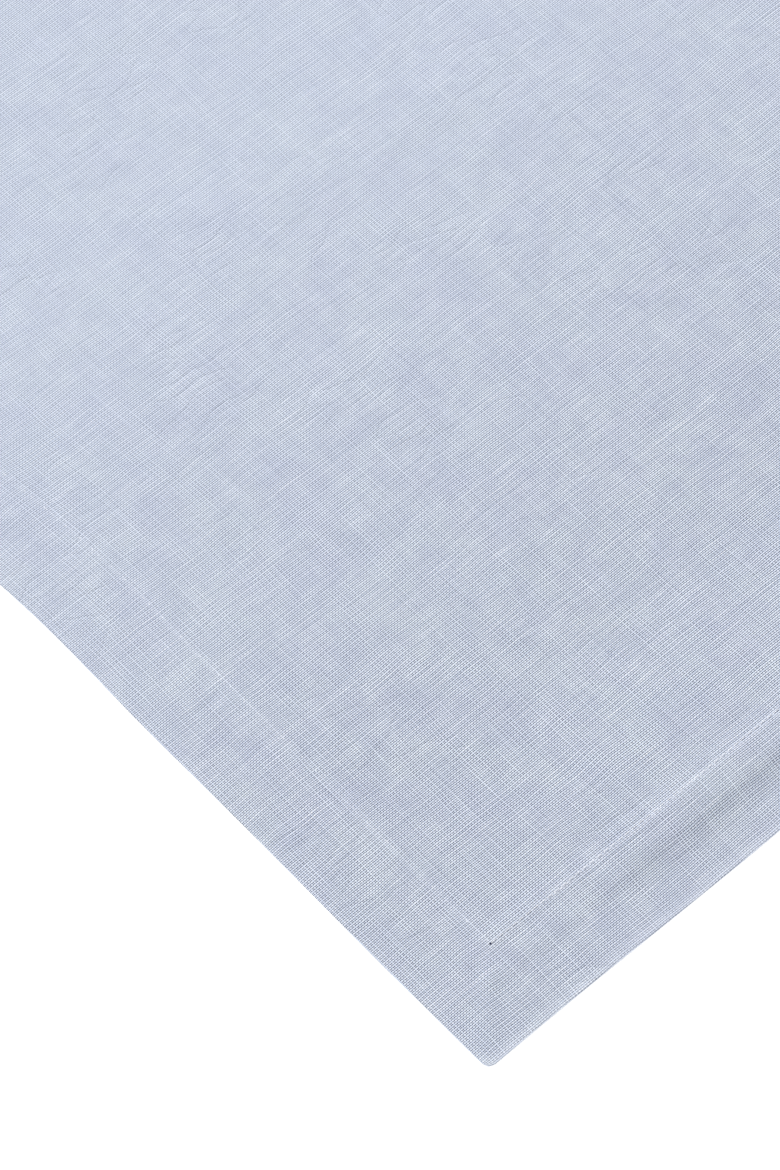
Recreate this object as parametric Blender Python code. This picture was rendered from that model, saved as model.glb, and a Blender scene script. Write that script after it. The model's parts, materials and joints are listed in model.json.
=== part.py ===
"""A linen table runner with a wide double hem on all four sides and mitred corners, laid flat.

Metres, +Z up. The origin is the middle of the underside, +X runs along the runner to its near end,
and +Y to the right of someone who stands at the near end and faces the runner. The near and far
halves fold together over a crease across the middle.
"""

from math import cos, pi, sin, sqrt

import bmesh
import bpy

LENGTH = 1.400  # end to end, hemmed
WIDTH = 0.400  # side to side, hemmed
HEM = 0.030  # outer fold to stitch line
INNER_TURN = 0.010  # raw edge, turned back out inside the hem from the stitch line
TURN_PAST_STITCH = 0.0025  # the hem's inner fold lies this far beyond the stitch line
CLOTH = 0.00045  # one loose layer of linen
STITCHED_CLOTH = 0.00025  # one layer where the stitches squeeze it
THREAD = 0.00025  # sewing thread
STITCH_DIP = 0.0015  # the layers bend towards the stitches over this width on each side
CLIMB = 0.002  # width over which the face cloth climbs onto the inner turn
RAMP = 0.0035  # width over which the face cloth comes down from the hem to the table
GAP = 0.0003  # clearance between neighbouring pieces
FOLD_HEIGHT = 0.0035  # the crease line's height when the halves fold together
THREAD_SIDES = 6


def stack(base, layer):
    """Underside and top of the hem's return, its inner turn and the face cloth above them."""
    return [(base + i * (layer + GAP), base + i * (layer + GAP) + layer) for i in range(3)]


LOOSE = stack(0, CLOTH)
SEWN = stack(THREAD + GAP, STITCHED_CLOTH)
HEM_INNER_FOLD = HEM + TURN_PAST_STITCH
RAW_EDGE = HEM - INNER_TURN
MITRE_OPENING = THREAD + 2 * GAP  # between two hems at a corner, with the seam thread in it
MITRE_SETBACK = MITRE_OPENING / sqrt(2)  # the same, along a hem, taken off each end


def material(name, colour, roughness):
    made = bpy.data.materials.new(name)
    made.use_nodes = True
    shader = made.node_tree.nodes["Principled BSDF"]
    shader.inputs["Base Color"].default_value = (*colour, 1)
    shader.inputs["Roughness"].default_value = roughness
    shader.inputs["Metallic"].default_value = 0
    return made


def over_stitches(layer, face):
    """(in from the outer fold, height) where a layer passes the stitch line; face 0 under, 1 on top."""
    return [
        (HEM - STITCH_DIP, LOOSE[layer][face]),
        (HEM, SEWN[layer][face]),
        (HEM + STITCH_DIP, LOOSE[layer][face]),
    ]


def face_cloth_section():
    """From the field's underside, out and round the outer fold, and back to the field's top."""
    ramp_top = HEM_INNER_FOLD + GAP
    under = [
        (0, 0),
        (CLOTH, 0),
        (CLOTH, LOOSE[1][0]),
        (RAW_EDGE - CLIMB, LOOSE[1][0]),
        (RAW_EDGE, LOOSE[2][0]),
        *over_stitches(2, 0),
        (ramp_top, LOOSE[2][0]),
        (ramp_top + RAMP, 0),
    ]
    top = [
        (0, LOOSE[1][0]),
        (CLOTH, LOOSE[1][1]),
        (RAW_EDGE - CLIMB, LOOSE[1][1]),
        (RAW_EDGE, LOOSE[2][1]),
        *over_stitches(2, 1),
        (ramp_top, LOOSE[2][1]),
        (ramp_top + RAMP, CLOTH),
    ]
    return under[::-1] + top


def hem_section():
    """The hem's return along the table, its inner fold, and the raw edge turned back out."""
    raw = RAW_EDGE + GAP
    outer = CLOTH + GAP
    round_off = CLOTH / 2
    return [
        (outer, LOOSE[0][0]),
        *over_stitches(0, 0),
        (HEM_INNER_FOLD - round_off, LOOSE[0][0]),
        (HEM_INNER_FOLD, LOOSE[0][0] + round_off),
        (HEM_INNER_FOLD, LOOSE[1][1] - round_off),
        (HEM_INNER_FOLD - round_off, LOOSE[1][1]),
        *over_stitches(1, 1)[::-1],
        (raw, LOOSE[1][1]),
        (raw, LOOSE[1][0]),
        *over_stitches(1, 0),
        (HEM_INNER_FOLD - CLOTH, LOOSE[1][0]),
        (HEM_INNER_FOLD - CLOTH, LOOSE[0][1]),
        *over_stitches(0, 1)[::-1],
        (outer, LOOSE[0][1]),
    ]


def thread_section(across, height):
    """A thread seen end on, with its middle at this distance across and this height."""
    turns = [2 * pi * (i + 0.5) / THREAD_SIDES for i in range(THREAD_SIDES)]
    return [(across + THREAD / 2 * cos(t), height + THREAD / 2 * sin(t)) for t in turns]


def finish_mesh(shape, name):
    bmesh.ops.recalc_face_normals(shape, faces=shape.faces)
    mesh = bpy.data.meshes.new(name)
    shape.to_mesh(mesh)
    shape.free()
    return mesh


def rings_round_half(shape, section):
    """Each point of the section, carried along the left side, the near end and the right side."""
    rings = []
    for inset, height in section:
        x, y = LENGTH / 2 - inset, WIDTH / 2 - inset
        path = [(GAP / 2, -y), (x, -y), (x, y), (GAP / 2, y)]
        rings.append([shape.verts.new((*point, height)) for point in path])
    return rings


def skin(shape, ring, neighbour):
    for i in range(len(ring) - 1):
        shape.faces.new((ring[i], ring[i + 1], neighbour[i + 1], neighbour[i]))


def face_cloth_mesh():
    """The half panel: a flat field with the hem's face side round three sides of it."""
    shape = bmesh.new()
    rings = rings_round_half(shape, face_cloth_section())
    for ring, neighbour in zip(rings, rings[1:]):
        skin(shape, ring, neighbour)
    shape.faces.new(rings[0])
    shape.faces.new(rings[-1])
    shape.faces.new([ring[0] for ring in rings] + [ring[-1] for ring in reversed(rings)])
    return finish_mesh(shape, "face_cloth")


def thread_mesh(name, height):
    """One of the two threads of the hem's lockstitch, round three sides of a half."""
    shape = bmesh.new()
    rings = rings_round_half(shape, thread_section(HEM, height))
    for ring, neighbour in zip(rings, rings[1:] + rings[:1]):
        skin(shape, ring, neighbour)
    shape.faces.new([ring[0] for ring in rings])
    shape.faces.new([ring[-1] for ring in rings])
    return finish_mesh(shape, name)


def prism_mesh(name, section, end_points):
    """The section's points joined into a solid between the two ends that end_points gives for each."""
    shape = bmesh.new()
    first, last = [], []
    for across, height in section:
        start, end = end_points(across)
        first.append(shape.verts.new((*start, height)))
        last.append(shape.verts.new((*end, height)))
    for i in range(len(section)):
        shape.faces.new((first[i - 1], first[i], last[i], last[i - 1]))
    shape.faces.new(first)
    shape.faces.new(last)
    return finish_mesh(shape, name)


def end_hem_mesh():
    def mitres(inset):
        x, y = LENGTH / 2 - inset, WIDTH / 2 - inset - MITRE_SETBACK
        return (x, -y), (x, y)

    return prism_mesh("end_hem", hem_section(), mitres)


def side_hem_mesh(name, side):
    """A long side's hem, from the crease line to its mitre. side is -1 on the left, 1 on the right."""

    def cut_and_mitre(inset):
        y = side * (WIDTH / 2 - inset)
        return (GAP / 2, y), (LENGTH / 2 - inset - MITRE_SETBACK, y)

    return prism_mesh(name, hem_section(), cut_and_mitre)


def mitre_seam_mesh(name, side):
    """The thread that closes a corner's mitre, from near the corner to short of the stitch line."""

    def along_mitre(across):
        offset = across / sqrt(2)
        points = []
        for inset in (2 * CLOTH + 2 * GAP, HEM - STITCH_DIP):
            x, y = LENGTH / 2 - inset, WIDTH / 2 - inset
            points.append((x + offset, side * (y - offset)))
        return points

    return prism_mesh(name, thread_section(0, THREAD / 2), along_mitre)


def place(name, mesh, made_of, hinge):
    """A piece of the near half, or of the far half when it hangs on the crease."""
    piece = bpy.data.objects.new(name, mesh)
    if not mesh.materials:
        mesh.materials.append(made_of)
    if hinge:
        piece.parent = hinge
        piece.location = -hinge.location
        piece.rotation_euler.z = pi
    bpy.context.scene.collection.objects.link(piece)


for leftover in list(bpy.data.objects):
    bpy.data.objects.remove(leftover)

linen = material("linen", (0.55, 0.60, 0.72), 0.95)
sewing_thread = material("sewing_thread", (0.68, 0.73, 0.83), 0.75)

crease = bpy.data.objects.new("half_fold_axis", None)
crease.location.z = FOLD_HEIGHT
bpy.context.scene.collection.objects.link(crease)

cloth = face_cloth_mesh()
end_hem = end_hem_mesh()
side_hems = {side: side_hem_mesh("side_hem", side) for side in (-1, 1)}
mitre_seams = {side: mitre_seam_mesh("mitre_seam", side) for side in (-1, 1)}
needle_thread = thread_mesh("needle_thread", SEWN[2][1] + GAP + THREAD / 2)
bobbin_thread = thread_mesh("bobbin_thread", THREAD / 2)

# The far half is the near half turned end for end, so its left side is the near half's right.
for half, hinge, turned in (("near", None, 1), ("far", crease, -1)):
    place(f"{half}_face_cloth", cloth, linen, hinge)
    place(f"{half}_end_hem", end_hem, linen, hinge)
    for hand, side in (("left", -1), ("right", 1)):
        place(f"{half}_{hand}_hem", side_hems[side * turned], linen, hinge)
        place(f"{half}_{hand}_mitre_seam", mitre_seams[side * turned], sewing_thread, hinge)
    place(f"{half}_needle_thread", needle_thread, sewing_thread, hinge)
    place(f"{half}_bobbin_thread", bobbin_thread, sewing_thread, hinge)
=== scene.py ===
"""The linen table runner, laid flat: its cloth, hem stitching and mitres, in the order that it is sewn."""

import json

import bpy
import numpy as np
from mathutils import Matrix, Vector, noise


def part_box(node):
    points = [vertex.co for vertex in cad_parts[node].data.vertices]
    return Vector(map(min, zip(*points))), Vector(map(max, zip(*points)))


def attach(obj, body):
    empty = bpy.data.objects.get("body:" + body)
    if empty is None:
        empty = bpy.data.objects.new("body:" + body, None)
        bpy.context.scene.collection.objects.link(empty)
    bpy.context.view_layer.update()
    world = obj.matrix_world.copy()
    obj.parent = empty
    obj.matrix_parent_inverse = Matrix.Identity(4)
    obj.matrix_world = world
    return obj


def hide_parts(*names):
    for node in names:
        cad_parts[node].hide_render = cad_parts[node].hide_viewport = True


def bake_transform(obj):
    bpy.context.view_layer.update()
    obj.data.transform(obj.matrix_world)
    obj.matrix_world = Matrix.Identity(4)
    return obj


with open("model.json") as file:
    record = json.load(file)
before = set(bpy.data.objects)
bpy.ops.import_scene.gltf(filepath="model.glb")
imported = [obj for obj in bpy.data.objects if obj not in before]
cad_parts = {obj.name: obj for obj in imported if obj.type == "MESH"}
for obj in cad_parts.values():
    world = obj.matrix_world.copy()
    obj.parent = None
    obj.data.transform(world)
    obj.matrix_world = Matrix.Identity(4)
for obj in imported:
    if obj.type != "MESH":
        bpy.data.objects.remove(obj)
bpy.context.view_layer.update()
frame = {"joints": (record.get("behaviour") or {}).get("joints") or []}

# ---------------------------------------------------------------------------------------------------
# The cloth. One piece of stone-washed linen, cut 90 mm longer and wider than the runner. Each edge is
# turned under twice: down and back to just past the stitch line, then the raw edge back out. The
# washing leaves it almost flat, with low soft crumples, short pressed creases and a puffed hem.
MM = 0.001
LAYER = 0.45 * MM  # one layer of the linen
TWO_LAYERS = 0.95 * MM
THREE_LAYERS = 1.40 * MM
RAW_EDGE_TURN = 10 * MM
SEWING_THREAD = 0.25 * MM
FIELD_MESH = 2.6 * MM  # the mesh of the near third, where the crumples are finest
FAR_MESH = 7.0 * MM
CREASE_MESH = 1.0 * MM
FINE_FROM = 290 * MM  # where the near third's mesh starts, out from the middle

cloth_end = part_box("near_face_cloth")[1]
half_length, half_width = cloth_end.x, cloth_end.y
stitch_line = half_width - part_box("near_needle_thread")[1].y + SEWING_THREAD / 2
inner_fold = half_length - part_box("near_end_hem")[0].x
raw_edge = stitch_line - RAW_EDGE_TURN
fold_radius = TWO_LAYERS / 2
fold_height = frame["joints"][0]["pos_m"][2]
crease_half_width = 1.1 * fold_height


def smooth(low, high, x):
    t = np.clip((x - low) / (high - low), 0, 1)
    return t * t * (3 - 2 * t)


def bump(middle, width, x):
    return np.exp(-(((x - middle) / width) ** 2))


def perlin(u, v, seed):
    """Soft noise between about -1 and 1; u and v are the place divided by the size of the noise's cells."""
    u, v = np.broadcast_arrays(u, v)
    shift = Vector((seed * 17.3, seed * 5.1, seed * 2.7))
    return np.array([noise.noise(Vector((a, b, 0)) + shift) for a, b in zip(u.tolist(), v.tolist())])


def face_height(inset):
    """Top of the pressed cloth over its underside, by the distance in from the outer fold."""
    round_fold = np.sqrt(np.clip(fold_radius**2 - (fold_radius - inset) ** 2, 0, None)) + fold_radius
    over_turn = TWO_LAYERS + (THREE_LAYERS - TWO_LAYERS) * smooth(raw_edge - 3 * MM, raw_edge, inset)
    down = smooth(inner_fold - 0.3 * MM, inner_fold + 3.5 * MM, inset)
    pinch = 0.05 * MM * bump(stitch_line, 1.5 * MM, inset)
    height = over_turn + (LAYER - over_turn) * down - pinch
    return np.where(inset < fold_radius, round_fold, height)


# Creases pressed in when it was folded away: middle x and y, heading in degrees, length, width, depth.
PRESSED_CREASES_MM = (
    (448, 22, 88, 54, 3.7, 0.34),
    (353, -30, 80, 30, 4.4, 0.31),
    (506, 28, 110, 52, 3.5, 0.26),
    (546, 60, 84, 46, 3.9, 0.31),
    (521, -2, 92, 20, 3.2, 0.26),
    (529, -60, 66, 30, 3.3, 0.29),
    (541, -107, 20, 18, 3.5, 0.23),
    (626, -163, 75, 14, 3.5, 0.26),
    (395, 40, 95, 24, 3.5, 0.21),
    (612, 40, 70, 36, 4.0, 0.26),
    (180, -60, 100, 60, 7.0, 0.24),
    (-150, 70, 80, 70, 7.5, 0.26),
    (-420, -30, 98, 64, 7.0, 0.24),
)

# Valleys that the washing left, in patches: seed, heading in degrees, sizes across and along, depth.
WASHED_CREASES = (
    (4, 90, 21 * MM, 55 * MM, 0.15 * MM),
    (5, 64, 22 * MM, 50 * MM, 0.12 * MM),
)
STANDS_OFF = 0.60 * MM  # how far the field stands off the table, on average
BROAD_WAVES = 0.24 * MM
CRUMPLES = 0.085 * MM
FINE_CRUMPLES = 0.088 * MM
HEM_STEP_FILL = 0.62 * MM  # how high the hem's three layers hold the single layer beside them
HEM_PUFF = 0.16 * MM
FEED_PUCKER = 0.18 * MM  # left by the machine's feed along the stitches
HEM_ROLL = 3.0 * MM
MITRE_RIDGE = 0.42 * MM
MITRE_HOLLOW = 0.20 * MM
TOUCHING = 0.03 * MM


def lift(x, y):
    """How far the cloth's underside stands off the table: broad waves, crumples, creases and hem puffs."""
    in_x, in_y = half_length - np.abs(x), half_width - np.abs(y)
    inset = np.minimum(in_x, in_y)
    wide = perlin(x / (85 * MM), y / (110 * MM), 1)
    middling = perlin(x / (20 * MM), y / (28 * MM), 2)
    fine = perlin(x / (5.8 * MM), y / (12.5 * MM), 3)
    rumpled = 1.75 - 0.40 * smooth(460 * MM, 600 * MM, np.abs(x))  # the end hems hold the cloth smoother
    height = STANDS_OFF + BROAD_WAVES * wide + rumpled * (CRUMPLES * middling + FINE_CRUMPLES * fine)

    for seed, heading, across, along, depth in WASHED_CREASES:
        turned = np.radians(heading)
        down_it = x * np.cos(turned) + y * np.sin(turned)
        off_it = y * np.cos(turned) - x * np.sin(turned)
        valley = bump(0, 0.22, perlin(off_it / across, down_it / along, seed))
        patch = smooth(-0.05, 0.35, perlin(x / (45 * MM), y / (40 * MM), seed + 10))
        height -= 0.8 * rumpled * depth * valley * patch

    for middle_x, middle_y, heading, length, width, depth in PRESSED_CREASES_MM:
        along = Vector((np.cos(np.radians(heading)), np.sin(np.radians(heading))))
        off_x, off_y = x - middle_x * MM, y - middle_y * MM
        down_it = (off_x * along.x + off_y * along.y) / (length / 2 * MM)
        bow = 0.14 * length * MM * (1 - down_it**2)
        off_it = off_y * along.x - off_x * along.y - bow
        height -= depth * MM * bump(0, width * MM, off_it) * (1 - smooth(0.5, 1.1, np.abs(down_it)))

    # Three layers of cloth are heavy, so the edges lie down on the table, and only the hems puff a
    # little. Inside them the single layer sinks back to the table slowly.
    height *= smooth(-3 * MM, 20 * MM, inset)
    past_hem = smooth(inner_fold - 1 * MM, inner_fold + 4 * MM, inset)
    height += HEM_STEP_FILL * past_hem * bump(inner_fold, 40 * MM, inset)
    for in_from_edge, along, seed in ((in_x, y, 21), (in_y, x, 22)):
        before_stitches = 1 - smooth(stitch_line - 9 * MM, stitch_line, in_from_edge)
        in_hem = smooth(3 * MM, 11 * MM, in_from_edge) * before_stitches
        uneven = 0.5 + 0.5 * perlin(along / (50 * MM), np.sign(x + y) * 3.0, seed)
        height += HEM_PUFF * in_hem * uneven
        feed = np.abs(perlin(along / (8.5 * MM), in_from_edge / (30 * MM), seed + 2))
        height += FEED_PUCKER * feed * bump(stitch_line, 3.5 * MM, in_from_edge)

    # The near end's hem is twisted a little and stands up in a soft roll along its middle.
    rolled = smooth(-155 * MM, -88 * MM, y) * (1 - smooth(30 * MM, 120 * MM, y)) * (x > 0)
    rise = 0.75 * smooth(11.0 * MM, 21.5 * MM, in_x) + 0.25 * smooth(17.0 * MM, 27.5 * MM, in_x)
    fall = 1 - 0.25 * smooth(28.0 * MM, stitch_line + 1.2 * MM, in_x)
    sinks_back = 1 - smooth(stitch_line + 2 * MM, stitch_line + 60 * MM, in_x)
    height += HEM_ROLL * rolled * rise * fall * sinks_back

    # The seam inside each mitre shows as a faint ridge on the face.
    before_stitches = 1 - smooth(stitch_line - 7 * MM, stitch_line, np.maximum(in_x, in_y))
    in_corner = smooth(2 * MM, 5 * MM, inset) * before_stitches
    off_seam = (in_x - in_y) / np.sqrt(2)
    height += MITRE_RIDGE * in_corner * bump(0, 2.0 * MM, off_seam)
    height -= MITRE_HOLLOW * in_corner * bump(5.5 * MM, 3.0 * MM, np.abs(off_seam))
    return np.maximum(height, TOUCHING)


EDGE_WANDER = 0.5 * MM
TWIST_OUT = 1.3 * MM  # how far the rolled hem leans out over the end
CORNER_LOSS = 0.8 * MM  # a turned-out corner never comes to a point


def settle(places):
    """Moves the flat, folded cloth to how it lies: ironed thin at the folds, with its edges wandering."""
    x, y, z = places.T
    in_x, in_y = half_length - np.abs(x), half_width - np.abs(y)
    ironed = 0.66 + 0.34 * smooth(0, 7 * MM, np.minimum(in_x, in_y))
    wander_x = EDGE_WANDER * perlin(y / (75 * MM), x / (300 * MM), 31)
    wander_y = EDGE_WANDER * perlin(x / (90 * MM), y / (300 * MM), 32)
    strayed = 1.3 * MM * bump(500 * MM, 33 * MM, x) - 2.3 * MM * bump(430 * MM, 28 * MM, x)
    strayed -= 1.0 * MM * smooth(550 * MM, 660 * MM, x)
    wander_y += strayed * smooth(20 * MM, 160 * MM, -y)
    wander_x += 0.75 * MM * smooth(600 * MM, 690 * MM, x)
    twisted = smooth(-165 * MM, -75 * MM, y) * (x > 0) * (1 - smooth(35 * MM, 85 * MM, in_x))
    wander_x += twisted * (TWIST_OUT + 0.5 * MM * bump(stitch_line, 14 * MM, in_x))
    blunt = CORNER_LOSS * bump(0, 1.6 * MM, np.hypot(in_x, in_y))
    moved_x = x + wander_x - np.sign(x) * blunt
    moved_y = y + wander_y - np.sign(y) * blunt
    return np.c_[moved_x, moved_y, z * ironed + lift(x, y)]


def lines_across(half_side, spacings):
    """Mesh lines from one outer fold to the other: close over the hems, then by each (up to, spacing)."""
    fold = fold_radius * (1 - np.cos(np.radians((0, 30, 60, 90))))
    hem = np.array([1.3, 2.8, 4.8, 7, 9.4, 11.6, 13.8, 16, 17.6, 19, 20.5, 22.5, 24.5, 26.4]) * MM
    sewn = stitch_line + np.array([-2.2, -1.2, -0.6, 0, 0.6, 1.2, 2.2, 2.9, 3.7, 4.6, 5.6, 6.8]) * MM
    edge = np.concatenate([fold, hem, sewn])
    middle, place = [], -half_side + edge[-1]
    for up_to, spacing in spacings:
        up_to = min(up_to, half_side - edge[-1])
        count = max(1, round((up_to - place) / spacing))
        middle.extend(np.linspace(place, up_to, count + 1)[1:])
        place = up_to
    return np.concatenate([edge - half_side, middle[:-1], half_side - edge[::-1]])


def grid_faces(rows, columns, first=0):
    """Quads of a grid whose points are numbered row by row from first."""
    i, j = np.meshgrid(np.arange(rows - 1), np.arange(columns - 1), indexing="ij")
    a = (first + i * columns + j).ravel()
    return np.c_[a, a + columns, a + columns + 1, a + 1]


def mesh_object(name, places, faces):
    mesh = bpy.data.meshes.new(name)
    mesh.from_pydata(places.tolist(), [], faces.tolist())
    mesh.shade_smooth()
    made = bpy.data.objects.new(name, mesh)
    bpy.context.scene.collection.objects.link(made)
    return made


def keep_on_points(thing, name, vectors):
    attribute = thing.data.attributes.new(name, "FLOAT_VECTOR", "POINT")
    attribute.data.foreach_set("vector", vectors.astype(np.float32).ravel())


crease = 2 * crease_half_width
xs = lines_across(
    half_length,
    [(-crease, FAR_MESH), (crease, CREASE_MESH), (FINE_FROM, FAR_MESH), (half_length, FIELD_MESH)],
)
ys = lines_across(half_width, [(half_width, FIELD_MESH)])
grid_x, grid_y = np.meshgrid(xs, ys, indexing="ij")
inset = np.minimum(half_length - np.abs(grid_x), half_width - np.abs(grid_y))
parts = [np.c_[grid_x.ravel(), grid_y.ravel(), face_height(inset).ravel()]]
cut_places = [np.c_[grid_x.ravel(), grid_y.ravel(), np.zeros(grid_x.size)]]
faces = [grid_faces(len(xs), len(ys))]

# A section through a turned-under edge, each point as (inset, height), from the outer fold to the raw edge.
STITCH_GROOVE = 0.25 * MM
outer_turn = np.radians((0, -30, -60, -90))
turned = [(fold_radius * (1 - np.cos(a)), fold_radius * (1 + np.sin(a))) for a in outer_turn]
turned += [(i * MM, 0) for i in (1.5, 3.5, 7, 11, 15, 19, 23, 26.5)]
for off_line, share in ((-1.5, 0), (-0.7, 0.5), (0, 1), (0.7, 0.5), (1.5, 0)):
    turned.append((stitch_line + off_line * MM, share * STITCH_GROOVE))
for a in np.radians((-90, -45, 0, 45, 90)):
    turned.append((inner_fold - fold_radius * (1 - np.cos(a)), fold_radius * (1 + np.sin(a))))
for off_line, share in ((0.9, 0.4), (0, 1), (-0.9, 0.4), (-3, 0)):
    turned.append((stitch_line + off_line * MM, TWO_LAYERS - share * STITCH_GROOVE))
turned += [(raw_edge + 3 * MM, TWO_LAYERS), (raw_edge, TWO_LAYERS)]
section = np.array(turned)
run = np.concatenate([[0], np.cumsum(np.hypot(*np.diff(section, axis=0).T))])

# The four edges follow the section, and each line of it is shorter by how far in it lies, as a mitre is.
for side_x, side_y in ((0, -1), (1, 0), (0, 1), (-1, 0)):
    along = xs if side_y else ys
    half_along, half_across = (half_length, half_width) if side_y else (half_width, half_length)
    strip, cut_strip = [], []
    for (inward, height), length in zip(section, run):
        shrunk = along * (half_along - inward) / half_along
        across = np.full_like(along, half_across - inward)
        outward = np.full_like(along, half_across + length)
        if side_y:
            strip.append(np.c_[shrunk, side_y * across, np.full_like(along, height)])
            cut_strip.append(np.c_[shrunk, side_y * outward, np.zeros_like(along)])
        else:
            strip.append(np.c_[side_x * across, shrunk, np.full_like(along, height)])
            cut_strip.append(np.c_[side_x * outward, shrunk, np.zeros_like(along)])
    quads = grid_faces(len(section), len(along), sum(len(p) for p in parts))
    faces.append(quads if side_y - side_x < 0 else quads[:, ::-1])
    parts.append(np.concatenate(strip))
    cut_places.append(np.concatenate(cut_strip))

cloth = mesh_object("linen_cloth", settle(np.concatenate(parts)), np.concatenate(faces))
keep_on_points(cloth, "cut_place", np.concatenate(cut_places))


def linear(hex_colour):
    """An sRGB hex colour as linear red, green, blue and alpha."""
    channels = [int(hex_colour[i : i + 2], 16) / 255 for i in (0, 2, 4)]
    return [c / 12.92 if c <= 0.04045 else ((c + 0.055) / 1.055) ** 2.4 for c in channels] + [1]


def material(name, **sockets):
    """A new material, its node tree and its shader, with these values on the shader's own sockets."""
    made = bpy.data.materials.new(name)
    made.use_nodes = True
    shader = made.node_tree.nodes["Principled BSDF"]
    for socket, value in sockets.items():
        shader.inputs[socket.replace("_", " ")].default_value = value
    return made, made.node_tree, shader


def add(tree, kind, inputs=(), output=0, **settings):
    """Adds a node with its settings, and a link or a value for each input; gives back one of its outputs."""
    node = tree.nodes.new(kind)
    for name, value in settings.items():
        setattr(node, name, value)
    for socket, value in dict(inputs).items():
        if isinstance(value, bpy.types.NodeSocket):
            tree.links.new(value, node.inputs[socket])
        else:
            node.inputs[socket].default_value = value
    return node.outputs[output]


# Stone-washed linen: flax spun slightly thick and thin, in a plain weave of 16 warp threads per cm
# along the runner and 15 weft threads across it. Matt, with the soft halo of its loose fibres. The
# threads' tops are pale, and the gaps between them are painted dark navy as painted shade.
WARP_PITCH = 0.629 * MM
WEFT_PITCH = 0.669 * MM
WARP_SLUB = 32 * MM  # how far along a yarn its thickness changes
WEFT_SLUB = 24 * MM
YARNS_APART = 7.31  # from one yarn's noise to the next one's, far enough to share nothing

# What the noises draw on the cloth, in cells to the metre: 22 makes them 45 mm across.
BOWED_YARNS = 22
SLACK_PATCHES = 75  # 13 mm
TINT_CLOUDS = 42  # 24 mm
MOTTLE = 170  # 6 mm
FLAX_FIBRES = 6000  # 0.17 mm
FINE_CRUMPLE = 260  # 4 mm
HAIRLINES = 62  # 16 mm
CREASED_PATCHES = 24  # 42 mm
FEED_PUCKERS = 430  # 2.3 mm
YARN_BOWING = 3 * MM

MATH = "ShaderNodeMath"
MAP_RANGE = "ShaderNodeMapRange"
MIX = "ShaderNodeMix"
NOISE = "ShaderNodeTexNoise"
VECTOR_MATH = "ShaderNodeVectorMath"
RELIEF = "ShaderNodeBump"
SOFT = "SMOOTHSTEP"
FACTOR, FIRST, SECOND, MIXED = 0, 6, 7, 2  # the colour sockets of a Mix node

linen, tree, shader = material(
    "washed_plain_weave_linen",
    Roughness=0.9,
    Sheen_Weight=0.12,
    Sheen_Roughness=0.5,
    Specular_IOR_Level=0.25,
)
cut = add(tree, "ShaderNodeAttribute", output="Vector", attribute_name="cut_place")
bowing = add(tree, NOISE, {"Vector": cut, "Scale": BOWED_YARNS, "Detail": 2, "Roughness": 0.6}, "Color")
strays = {0: bowing, 1: (YARN_BOWING, YARN_BOWING, 0), 2: cut}
bowed = add(tree, VECTOR_MATH, strays, operation="MULTIPLY_ADD")
warp_way = add(tree, "ShaderNodeSeparateXYZ", {0: bowed}, "X")
weft_way = add(tree, "ShaderNodeSeparateXYZ", {0: bowed}, "Y")

# Here and there the weft lies slacker and the warp rises over it, in patches 10 to 20 mm across.
slackness = add(tree, NOISE, {"Vector": cut, "Scale": SLACK_PATCHES, "Detail": 1})
weft_rises = add(
    tree,
    MAP_RANGE,
    {"Value": slackness, "From Min": 0.35, "From Max": 0.65, "To Min": -0.45, "To Max": 0.40},
)

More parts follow.
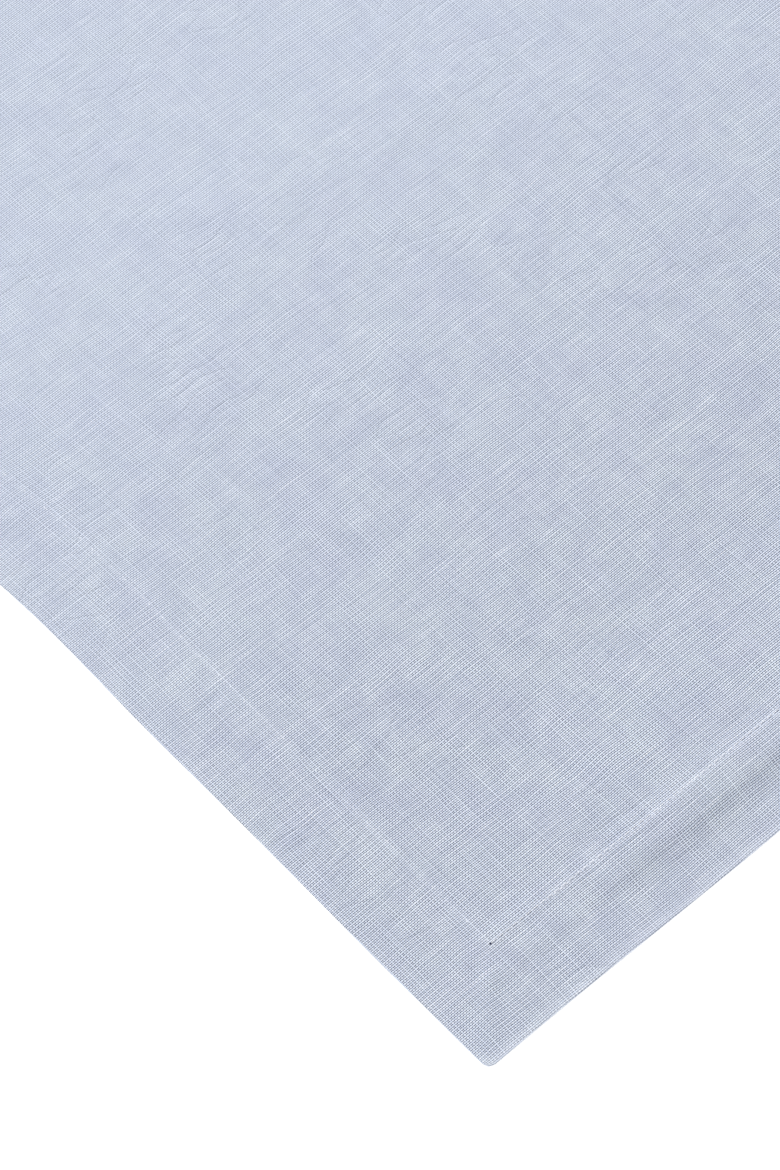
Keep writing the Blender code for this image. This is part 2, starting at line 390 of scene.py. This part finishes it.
# Each set of yarns: their least and greatest width as shares of the pitch, how much wider every other
# one is, and the darkest and palest shade.
WARP_YARN = ((0.54, 0.68), 0.20, ("b0bbcf", "cdd7e6"))
WEFT_YARN = ((0.68, 0.80), 0.06, ("cdd7e4", "e5eaf1"))
yarns = {}
for name, across_it, pitch, along_it, crossing_pitch, slub, over_first, (widths, pairing, shades) in (
    ("warp", weft_way, WARP_PITCH, warp_way, WEFT_PITCH, WARP_SLUB, 1, WARP_YARN),
    ("weft", warp_way, WEFT_PITCH, weft_way, WARP_PITCH, WEFT_SLUB, -1, WEFT_YARN),
):
    counted = add(tree, MATH, {0: across_it, 1: pitch}, operation="DIVIDE")
    number = add(tree, MATH, {0: counted}, operation="FLOOR")
    part_across = add(tree, MATH, {0: counted}, operation="FRACT")
    off_middle = add(tree, MATH, {0: part_across, 1: 2, 2: -1}, operation="MULTIPLY_ADD")
    every_other = add(tree, MATH, {0: number, 1: 2}, operation="FLOORED_MODULO")
    parity = add(tree, MATH, {0: every_other, 1: -2, 2: 1}, operation="MULTIPLY_ADD")

    # Flax is spun thick and thin, and a thick yarn crowds its neighbour: so each takes its own
    # unevenness less part of the next one's.
    along_slubs = add(tree, MATH, {0: along_it, 1: slub}, operation="DIVIDE")
    own_row = add(tree, MATH, {0: number, 1: YARNS_APART}, operation="MULTIPLY")
    own_place = add(tree, "ShaderNodeCombineXYZ", {"X": own_row, "Y": along_slubs, "Z": over_first * 4.0})
    own = add(tree, NOISE, {"Vector": own_place, "Scale": 1, "Detail": 1})
    next_row = add(tree, MATH, {0: own_row, 1: YARNS_APART}, operation="ADD")
    next_place = add(tree, "ShaderNodeCombineXYZ", {"X": next_row, "Y": along_slubs, "Z": over_first * 4.0})
    neighbour = add(tree, NOISE, {"Vector": next_place, "Scale": 1, "Detail": 1})
    crowded = add(tree, MATH, {0: neighbour, 1: -0.7, 2: 0.35}, operation="MULTIPLY_ADD")
    uneven = add(tree, MATH, {0: own, 1: crowded}, operation="ADD")

    # A few yarns swell into a pale slub 10 to 50 mm long.
    slub_place = add(tree, VECTOR_MATH, {0: own_place, 1: (3.7, 1.3, 5)}, operation="MULTIPLY")
    slub_noise = add(tree, NOISE, {"Vector": slub_place, "Scale": 1, "Detail": 0})
    swollen = add(
        tree, MAP_RANGE, {"Value": slub_noise, "From Min": 0.68, "From Max": 0.78}, interpolation_type=SOFT
    )

    # The yarn's round back: 1 on top, down to 0 and below in the gaps beside it.
    spun = add(
        tree,
        MAP_RANGE,
        {"Value": uneven, "From Min": 0.25, "From Max": 0.75, "To Min": widths[0], "To Max": widths[1]},
        interpolation_type=SOFT,
    )
    paired = add(tree, MATH, {0: parity, 1: pairing, 2: spun}, operation="MULTIPLY_ADD")
    width = add(tree, MATH, {0: swollen, 1: 0.10, 2: paired}, operation="MULTIPLY_ADD")
    across_width = add(tree, MATH, {0: off_middle, 1: width}, operation="DIVIDE")
    fallen = add(tree, MATH, {0: across_width, 1: across_width}, operation="MULTIPLY")
    back = add(tree, MATH, {0: 1, 1: fallen}, operation="SUBTRACT")

    # Over and under the threads that cross it, the other way round on every other thread.
    waves_along = over_first * np.pi / crossing_pitch
    half_waves = add(tree, MATH, {0: along_it, 1: waves_along}, operation="MULTIPLY")
    wave = add(tree, MATH, {0: half_waves}, operation="SINE")
    ride = add(tree, MATH, {0: wave, 1: parity}, operation="MULTIPLY")
    top = add(tree, MATH, {0: ride, 1: 0.30, 2: back}, operation="MULTIPLY_ADD")

    own_tone = add(tree, "ShaderNodeTexWhiteNoise", {"W": number}, noise_dimensions="1D")
    next_number = add(tree, MATH, {0: number, 1: 1}, operation="ADD")
    next_tone = add(tree, "ShaderNodeTexWhiteNoise", {"W": next_number}, noise_dimensions="1D")
    tone = add(tree, MATH, {0: own_tone, 1: next_tone}, operation="SUBTRACT")
    dyed = add(tree, MATH, {0: tone, 1: 0.22, 2: uneven}, operation="MULTIPLY_ADD")
    paled = add(tree, MATH, {0: swollen, 1: 0.24, 2: dyed}, operation="MULTIPLY_ADD")
    colours = {FACTOR: paled, FIRST: linear(shades[0]), SECOND: linear(shades[1])}
    yarns[name] = (top, add(tree, MIX, colours, MIXED, data_type="RGBA"))

warp_top, warp_colour = yarns["warp"]
weft_top, weft_colour = yarns["weft"]
weave = add(tree, MATH, {0: warp_top, 1: weft_top}, operation="MAXIMUM")
fibres = add(tree, NOISE, {"Vector": cut, "Scale": FLAX_FIBRES, "Detail": 3, "Roughness": 0.6})
hairy = add(tree, MATH, {0: fibres, 1: 0.35, 2: weave}, operation="MULTIPLY_ADD")
weft_risen = add(tree, MATH, {0: weft_top, 1: weft_rises}, operation="ADD")
weft_higher = add(tree, MATH, {0: weft_risen, 1: warp_top}, operation="SUBTRACT")
weft_shows = add(tree, MAP_RANGE, {"Value": weft_higher, "From Min": -0.2, "From Max": 0.2})
yarn = add(tree, MIX, {FACTOR: weft_shows, FIRST: warp_colour, SECOND: weft_colour}, MIXED, data_type="RGBA")

# Washed-out clouds 5 to 40 mm across, a little more lavender or a little more grey.
tint = add(tree, NOISE, {"Vector": cut, "Scale": TINT_CLOUDS, "Detail": 2})
lavender = add(tree, MAP_RANGE, {"Value": tint, "From Min": 0.35, "From Max": 0.65, "To Max": 0.21})
tinted = {FACTOR: lavender, FIRST: yarn, SECOND: linear("ebe6f9")}
yarn = add(tree, MIX, tinted, MIXED, data_type="RGBA", blend_type="MULTIPLY")
mottle = add(tree, NOISE, {"Vector": cut, "Scale": MOTTLE, "Detail": 2})
greyed = add(tree, MAP_RANGE, {"Value": mottle, "From Min": 0.66, "From Max": 0.34, "To Max": 0.52})
mottled = {FACTOR: greyed, FIRST: yarn, SECOND: linear("f0eff5")}
yarn = add(tree, MIX, mottled, MIXED, data_type="RGBA", blend_type="MULTIPLY")

# The threads are pressed together where the hem is stitched, and rubbed a little paler there and on
# the outer fold, so the painted shade in the gaps shows less. Use has raised more fuzz towards the
# middle of the runner, which fills the gaps, thins their painted shade and veils the yarns' colours.
# The needle's last hole at each corner stays open, painted as a dark dot of shade.
WORN = 400 * MM  # worn all over as far out as this from the middle, and then less
UNWORN = 600 * MM
cut_x = add(tree, MATH, {0: add(tree, "ShaderNodeSeparateXYZ", {0: cut}, "X")}, operation="ABSOLUTE")
cut_y = add(tree, MATH, {0: add(tree, "ShaderNodeSeparateXYZ", {0: cut}, "Y")}, operation="ABSOLUTE")
off_end_fold = add(tree, MATH, {0: cut_x, 1: half_length}, operation="SUBTRACT")
off_side_fold = add(tree, MATH, {0: cut_y, 1: half_width}, operation="SUBTRACT")
outermost = add(tree, MATH, {0: off_end_fold, 1: off_side_fold}, operation="MAXIMUM")
from_fold = add(tree, MATH, {0: outermost}, operation="ABSOLUTE")
off_stitches = add(tree, MATH, {0: outermost, 1: stitch_line}, operation="ADD")
from_stitches = add(tree, MATH, {0: off_stitches}, operation="ABSOLUTE")
rubbed_seam = add(
    tree,
    MAP_RANGE,
    {"Value": from_stitches, "From Min": 2.2 * MM, "From Max": 0.3 * MM, "To Max": 0.10},
    interpolation_type=SOFT,
)
rubbed_fold = add(
    tree,
    MAP_RANGE,
    {"Value": from_fold, "From Min": 3.0 * MM, "From Max": 0.5 * MM, "To Max": 0.08},
    interpolation_type=SOFT,
)
from_end_fold = add(tree, MATH, {0: off_end_fold}, operation="ABSOLUTE")
rubbed_end = add(
    tree,
    MAP_RANGE,
    {"Value": from_end_fold, "From Min": 5.5 * MM, "From Max": 0.5 * MM, "To Max": 0.20},
)
# Painted light: the hem band outside the stitch line is painted a little paler, with less painted gap shade,
# to lift its shading to the field's.
hem_painted_lift = add(
    tree,
    MAP_RANGE,
    {"Value": off_stitches, "From Min": -1 * MM, "From Max": 1 * MM, "To Max": 0.03},
)
rubbed_lines = add(tree, MATH, {0: rubbed_seam, 1: rubbed_fold}, operation="MAXIMUM")
rubbed_and_lifted_hem = add(tree, MATH, {0: rubbed_lines, 1: hem_painted_lift}, operation="ADD")
rubbed_and_lifted = add(tree, MATH, {0: rubbed_and_lifted_hem, 1: rubbed_end}, operation="ADD")
pale = add(tree, MATH, {0: rubbed_and_lifted, 1: 0.5}, operation="MULTIPLY")
yarn = add(tree, MIX, {FACTOR: pale, FIRST: yarn, SECOND: linear("eef1f8")}, MIXED, data_type="RGBA")
veil = add(tree, MAP_RANGE, {"Value": cut_x, "From Min": UNWORN, "From Max": WORN, "To Max": 0.42})
yarn = add(tree, MIX, {FACTOR: veil, FIRST: yarn, SECOND: linear("bec7d9")}, MIXED, data_type="RGBA")
# Painted shade: the low parts of the weave are mixed towards dark navy, standing in for the shade in the
# gaps between the threads.
depth = add(tree, MAP_RANGE, {"Value": hairy, "From Min": 1.08, "From Max": 0.39}, interpolation_type=SOFT)
still_open = add(tree, MATH, {0: 1, 1: rubbed_and_lifted}, operation="SUBTRACT")
open_gap = add(tree, MATH, {0: depth, 1: still_open}, operation="MULTIPLY")
fuzz = add(tree, MAP_RANGE, {"Value": cut_x, "From Min": WORN, "From Max": UNWORN, "To Min": 0.55})
painted_gap_shade = add(tree, MATH, {0: open_gap, 1: fuzz}, operation="MULTIPLY")
# Painted shade: a dark dot painted where the needle's last hole at each corner stays open.
corner_x = add(tree, MATH, {0: off_end_fold, 1: stitch_line}, operation="ADD")
corner_y = add(tree, MATH, {0: off_side_fold, 1: stitch_line}, operation="ADD")
from_corner = add(tree, "ShaderNodeCombineXYZ", {"X": corner_x, "Y": corner_y})
hole_distance = add(tree, VECTOR_MATH, {0: from_corner}, "Value", operation="LENGTH")
painted_hole_shade = add(tree, MAP_RANGE, {"Value": hole_distance, "From Min": 0.62 * MM, "From Max": 0.30 * MM})
painted_shade = add(tree, MATH, {0: painted_gap_shade, 1: painted_hole_shade}, operation="MAXIMUM")
colour = add(tree, MIX, {FACTOR: painted_shade, FIRST: yarn, SECOND: linear("1a2340")}, MIXED, data_type="RGBA")
tree.links.new(colour, shader.inputs["Base Color"])

# Relief finer than the mesh: crumples, hairline creases along the weft, the puckers that the feed
# leaves at each stitch, and then the yarns themselves.
crumple = add(tree, NOISE, {"Vector": cut, "Scale": FINE_CRUMPLE, "Detail": 3})
crumpled = add(tree, RELIEF, {"Strength": 1.0, "Distance": 0.18 * MM, "Height": crumple})
drawn_out = add(tree, VECTOR_MATH, {0: cut, 1: (1.7, 0.6, 1)}, operation="MULTIPLY")
crease_noise = add(tree, NOISE, {"Vector": drawn_out, "Scale": HAIRLINES, "Detail": 1})
crease_side = add(tree, MATH, {0: crease_noise, 1: 0.5}, operation="SUBTRACT")
crease_distance = add(tree, MATH, {0: crease_side}, operation="ABSOLUTE")
off_crease = add(
    tree, MAP_RANGE, {"Value": crease_distance, "From Min": 0, "From Max": 0.04}, interpolation_type=SOFT
)
patches = add(tree, NOISE, {"Vector": cut, "Scale": CREASED_PATCHES, "Detail": 1})
crease_patch = add(tree, MAP_RANGE, {"Value": patches, "From Min": 0.46, "From Max": 0.62})
crease_relief = add(tree, MATH, {0: off_crease, 1: crease_patch}, operation="MULTIPLY")
creased = add(
    tree, RELIEF, {"Strength": 1.0, "Distance": 0.13 * MM, "Height": crease_relief, "Normal": crumpled}
)
near_seam = add(
    tree,
    MAP_RANGE,
    {"Value": from_stitches, "From Min": 3.4 * MM, "From Max": 0.4 * MM},
    interpolation_type=SOFT,
)
fed = add(tree, NOISE, {"Vector": cut, "Scale": FEED_PUCKERS, "Detail": 1})
pucker = add(tree, MATH, {0: near_seam, 1: fed}, operation="MULTIPLY")
puckered = add(tree, RELIEF, {"Strength": 1.0, "Distance": 0.45 * MM, "Height": pucker, "Normal": creased})
woven = add(tree, RELIEF, {"Strength": 0.8, "Distance": 0.10 * MM, "Height": hairy, "Normal": puckered})
tree.links.new(woven, shader.inputs["Normal"])
cloth.data.materials.append(linen)

cloth_pieces = ("face_cloth", "end_hem", "left_hem", "right_hem")
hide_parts(*[f"{half}_{piece}" for half in ("near", "far") for piece in cloth_pieces])
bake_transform(cloth)

# ---------------------------------------------------------------------------------------------------
# The hem stitching. A lockstitch all the way round, 30 mm in from the edge, in spun polyester a little
# paler than the cloth. The needle thread lies on the face and dips into every hole, 3 mm apart, where
# the bobbin thread comes up from below and locks it.
STITCH = 3.0 * MM
THREAD_SIDES = 6
THREAD_RADIUS = 0.15 * MM  # fluffed up a little by the washing
TWIST = 0.8 * MM  # one turn of the thread's plies
SPUN_FIBRES = 9000  # cells to the metre, so 0.11 mm
NEEDLE_DIP = 0.30 * MM  # how far below the face each hole draws the needle thread in
SIDE_RISE = 0.17 * MM  # how far it climbs again between the holes
END_RISE = 0.62 * MM  # it is sewn looser along the ends
BOBBIN_LOCK = 0.20 * MM  # how far the bobbin thread comes up into each hole
BOBBIN_FALL = 0.28 * MM


def sew_tube(name, path, radius, closed=False):
    """A thread of this radius along the path, which keeps its length along and turn round on each point."""
    ahead = np.roll(path, -1, axis=0) - np.roll(path, 1, axis=0)
    if not closed:
        ahead[0], ahead[-1] = path[1] - path[0], path[-1] - path[-2]
    ahead /= np.linalg.norm(ahead, axis=1, keepdims=True)
    sideways = np.cross((0, 0, 1), ahead)
    sideways /= np.linalg.norm(sideways, axis=1, keepdims=True)
    upwards = np.cross(ahead, sideways)
    turns = np.linspace(0, 2 * np.pi, THREAD_SIDES, endpoint=False)[None, :, None]
    places = path[:, None] + radius * (np.cos(turns) * sideways[:, None] + np.sin(turns) * upwards[:, None])
    last = len(path) if closed else len(path) - 1
    i, j = np.meshgrid(np.arange(last), np.arange(THREAD_SIDES), indexing="ij")
    i_next, j_next = (i + 1) % len(path), (j + 1) % THREAD_SIDES
    corners = [i * THREAD_SIDES + j, i * THREAD_SIDES + j_next]
    corners += [i_next * THREAD_SIDES + j_next, i_next * THREAD_SIDES + j]
    made = mesh_object(name, places.reshape(-1, 3), np.stack(corners, -1).reshape(-1, 4)[:, ::-1])
    run = np.concatenate([[0], np.cumsum(np.linalg.norm(np.diff(path, axis=0), axis=1))])
    spun = np.zeros((len(path), THREAD_SIDES, 3))
    spun[..., 0] = run[:, None]
    spun[..., 1] = np.linspace(0, 1, THREAD_SIDES, endpoint=False)
    keep_on_points(made, "thread_place", spun.reshape(-1, 3))
    return made


ALONG_STITCH = np.array((0, 0.14, 0.32, 0.5, 0.68, 0.86))
sewn_x, sewn_y = half_length - stitch_line, half_width - stitch_line
corners = np.array([(sewn_x, -sewn_y), (sewn_x, sewn_y), (-sewn_x, sewn_y), (-sewn_x, -sewn_y)])
line = []
for start, end in zip(corners, np.roll(corners, -1, axis=0)):
    stitches = round(np.linalg.norm(end - start) / STITCH)
    shares = (np.arange(stitches)[:, None] + ALONG_STITCH).ravel() / stitches
    line.append(start + shares[:, None] * (end - start))
line = np.concatenate(line)
from_hole = np.tile(np.minimum(ALONG_STITCH, 1 - ALONG_STITCH), len(line) // len(ALONG_STITCH))
over = smooth(0.02, 0.34, from_hole)
face = np.full(len(line), face_height(np.array([stitch_line]))[0])
rise = np.where(np.abs(line[:, 0]) > sewn_x - 0.1 * MM, END_RISE, SIDE_RISE)
needle_path = settle(np.c_[line, face - NEEDLE_DIP + rise * over])
bobbin_path = settle(np.c_[line, STITCH_GROOVE + BOBBIN_LOCK - BOBBIN_FALL * over])
needle_thread = sew_tube("needle_thread", needle_path, THREAD_RADIUS, closed=True)
bobbin_thread = sew_tube("bobbin_thread", bobbin_path, THREAD_RADIUS, closed=True)

# Spun polyester sewing thread: short fibres in two plies twisted together. Slightly glossier than the
# linen, with painted shade: a dark slanting line painted where the plies meet.
spun_polyester, tree, shader = material(
    "spun_polyester_sewing_thread", Roughness=0.6, Sheen_Weight=0.1, Specular_IOR_Level=0.4
)
place = add(tree, "ShaderNodeAttribute", output="Vector", attribute_name="thread_place")
run_along = add(tree, "ShaderNodeSeparateXYZ", {0: place}, "X")
run_round = add(tree, "ShaderNodeSeparateXYZ", {0: place}, "Y")
twists = add(tree, MATH, {0: run_along, 1: 1 / TWIST, 2: run_round}, operation="MULTIPLY_ADD")
ply_phase = add(tree, MATH, {0: twists, 1: 2 * np.pi}, operation="MULTIPLY")
ply = add(tree, MATH, {0: ply_phase}, operation="SINE")
fibres = add(tree, NOISE, {"Vector": place, "Scale": SPUN_FIBRES, "Detail": 2})
# Painted shade: the groove between the plies is painted darker.
ply_groove_shade = add(tree, MAP_RANGE, {"Value": ply, "From Min": -0.55, "From Max": -1})
shaded = {FACTOR: ply_groove_shade, FIRST: linear("fafbfe"), SECOND: linear("a6afca")}
thread_colour = add(tree, MIX, shaded, MIXED, data_type="RGBA")
fibre_tone = {FACTOR: fibres, FIRST: thread_colour, SECOND: linear("eeeff3")}
thread_colour = add(tree, MIX, fibre_tone, MIXED, data_type="RGBA", blend_type="MULTIPLY")
tree.links.new(thread_colour, shader.inputs["Base Color"])
plied = add(tree, RELIEF, {"Strength": 0.6, "Distance": 0.05 * MM, "Height": ply})
tree.links.new(plied, shader.inputs["Normal"])

for thread in (needle_thread, bobbin_thread):
    thread.data.materials.append(spun_polyester)
    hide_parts(*[f"{half}_{thread.name}" for half in ("near", "far")])
    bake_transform(thread)

# ---------------------------------------------------------------------------------------------------
# The mitres. At each corner the two turned hems meet on the diagonal and are closed by hand with small
# slip stitches in the same thread as the hem, on the underside, where only a table sees them.
SLIP_STITCH = 2.6 * MM
SLIP_REACH = 0.55 * MM  # how far each stitch bites into the hem on its own side of the seam

SEAM_START = 3 * MM  # in from the corner
# One slip stitch: how far along the seam, which side and how far out, and the height above the table.
SLIP_STITCH_POINTS = (
    (0, -1, 0.30 * MM),
    (0.25 * MM, -0.8, -0.02 * MM),
    (0.70 * MM, 0, -0.05 * MM),
    (1.15 * MM, 0.8, -0.02 * MM),
    (1.40 * MM, 1, 0.30 * MM),
    (2.00 * MM, 0, 0.42 * MM),
)

for half, end_side in (("near", 1), ("far", -1)):
    for side, seam_side in (("left", -end_side), ("right", end_side)):
        out = np.array((end_side, seam_side)) / np.sqrt(2)
        across = np.array((-out[1], out[0]))
        corner = np.array((end_side * half_length, seam_side * half_width))
        seam_length = np.sqrt(2) * (stitch_line - SEAM_START)
        path = []
        for count in range(int(seam_length / SLIP_STITCH)):
            begin = SEAM_START + count * SLIP_STITCH
            for run_on, reach, height in SLIP_STITCH_POINTS:
                place = corner - out * (begin + run_on) + across * reach * SLIP_REACH
                path.append((*place, height))
        seam = sew_tube(f"{half}_{side}_slip_stitches", settle(np.array(path)), SEWING_THREAD / 2)
        seam.data.materials.append(spun_polyester)
        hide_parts(f"{half}_{side}_mitre_seam")
        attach(seam, f"{half}_half")

# ---------------------------------------------------------------------------------------------------
# The studio: a white light table that goes on past every edge of the view, a broad soft light from over
# the runner's far end with a weak card opposite, an even cool white surround, and a long lens.
TABLE_REACH = 40
TABLE_DROP = 0.07 * MM  # below the cloth, so that nothing cuts into it
table_corners = [
    (side_x * TABLE_REACH, side_y * TABLE_REACH, -TABLE_DROP)
    for side_x, side_y in ((-1, -1), (1, -1), (1, 1), (-1, 1))
]
table = mesh_object("table_top", np.array(table_corners), np.array([(0, 1, 2, 3)]))
# Opal acrylic lit from below: a matt white that hardly lets a shadow show.
acrylic, _, _ = material(
    "back_lit_opal_acrylic",
    Base_Color=linear("f8f8f8"),
    Roughness=1.0,
    Specular_IOR_Level=0.0,
    Emission_Color=(1, 1, 1, 1),
    Emission_Strength=0.38,
)
table.data.materials.append(acrylic)

scene = bpy.context.scene
world = bpy.data.worlds.new("cool_white_surround")
world.use_nodes = True
world.node_tree.nodes["Background"].inputs["Color"].default_value = (0.972, 0.987, 1.010, 1)
world.node_tree.nodes["Background"].inputs["Strength"].default_value = 0.636
scene.world = world

softbox = bpy.data.lights.new("softbox", "SUN")
softbox.energy = 2.69
softbox.color = (1.02, 1.0, 0.965)
softbox.angle = np.radians(50)
lamp = bpy.data.objects.new("softbox", softbox)
lamp.rotation_euler = Vector((-0.75, 0.12, 0.9)).to_track_quat("Z", "Y").to_euler()
scene.collection.objects.link(lamp)

fill = bpy.data.lights.new("fill_card", "SUN")
fill.energy = 0.25
fill.angle = np.radians(60)
card = bpy.data.objects.new("fill_card", fill)
card.rotation_euler = Vector((0.75, -0.45, 0.55)).to_track_quat("Z", "Y").to_euler()
scene.collection.objects.link(card)

camera = bpy.data.cameras.new("camera")
camera.lens = 182.7
camera.sensor_width = 36
camera.clip_start, camera.clip_end = 0.1, 100
eye = bpy.data.objects.new("camera", camera)
aimed_at = Vector((0.557, -0.105, 0.001))
distance = 1.90
azimuth, elevation, roll = np.radians((36.8, 59.0, 10.84))
level = np.cos(elevation)
ahead = Vector((-np.sin(azimuth) * level, np.cos(azimuth) * level, -np.sin(elevation)))
eye.location = aimed_at - distance * ahead
rightwards = Vector((np.cos(azimuth), np.sin(azimuth), 0))
upwards = rightwards.cross(ahead)
right_rolled = rightwards * np.cos(roll) + upwards * np.sin(roll)
up_rolled = upwards * np.cos(roll) - rightwards * np.sin(roll)
eye.rotation_euler = Matrix((right_rolled, up_rolled, -ahead)).transposed().to_euler()
scene.collection.objects.link(eye)
scene.camera = eye
scene.view_settings.view_transform = "Standard"
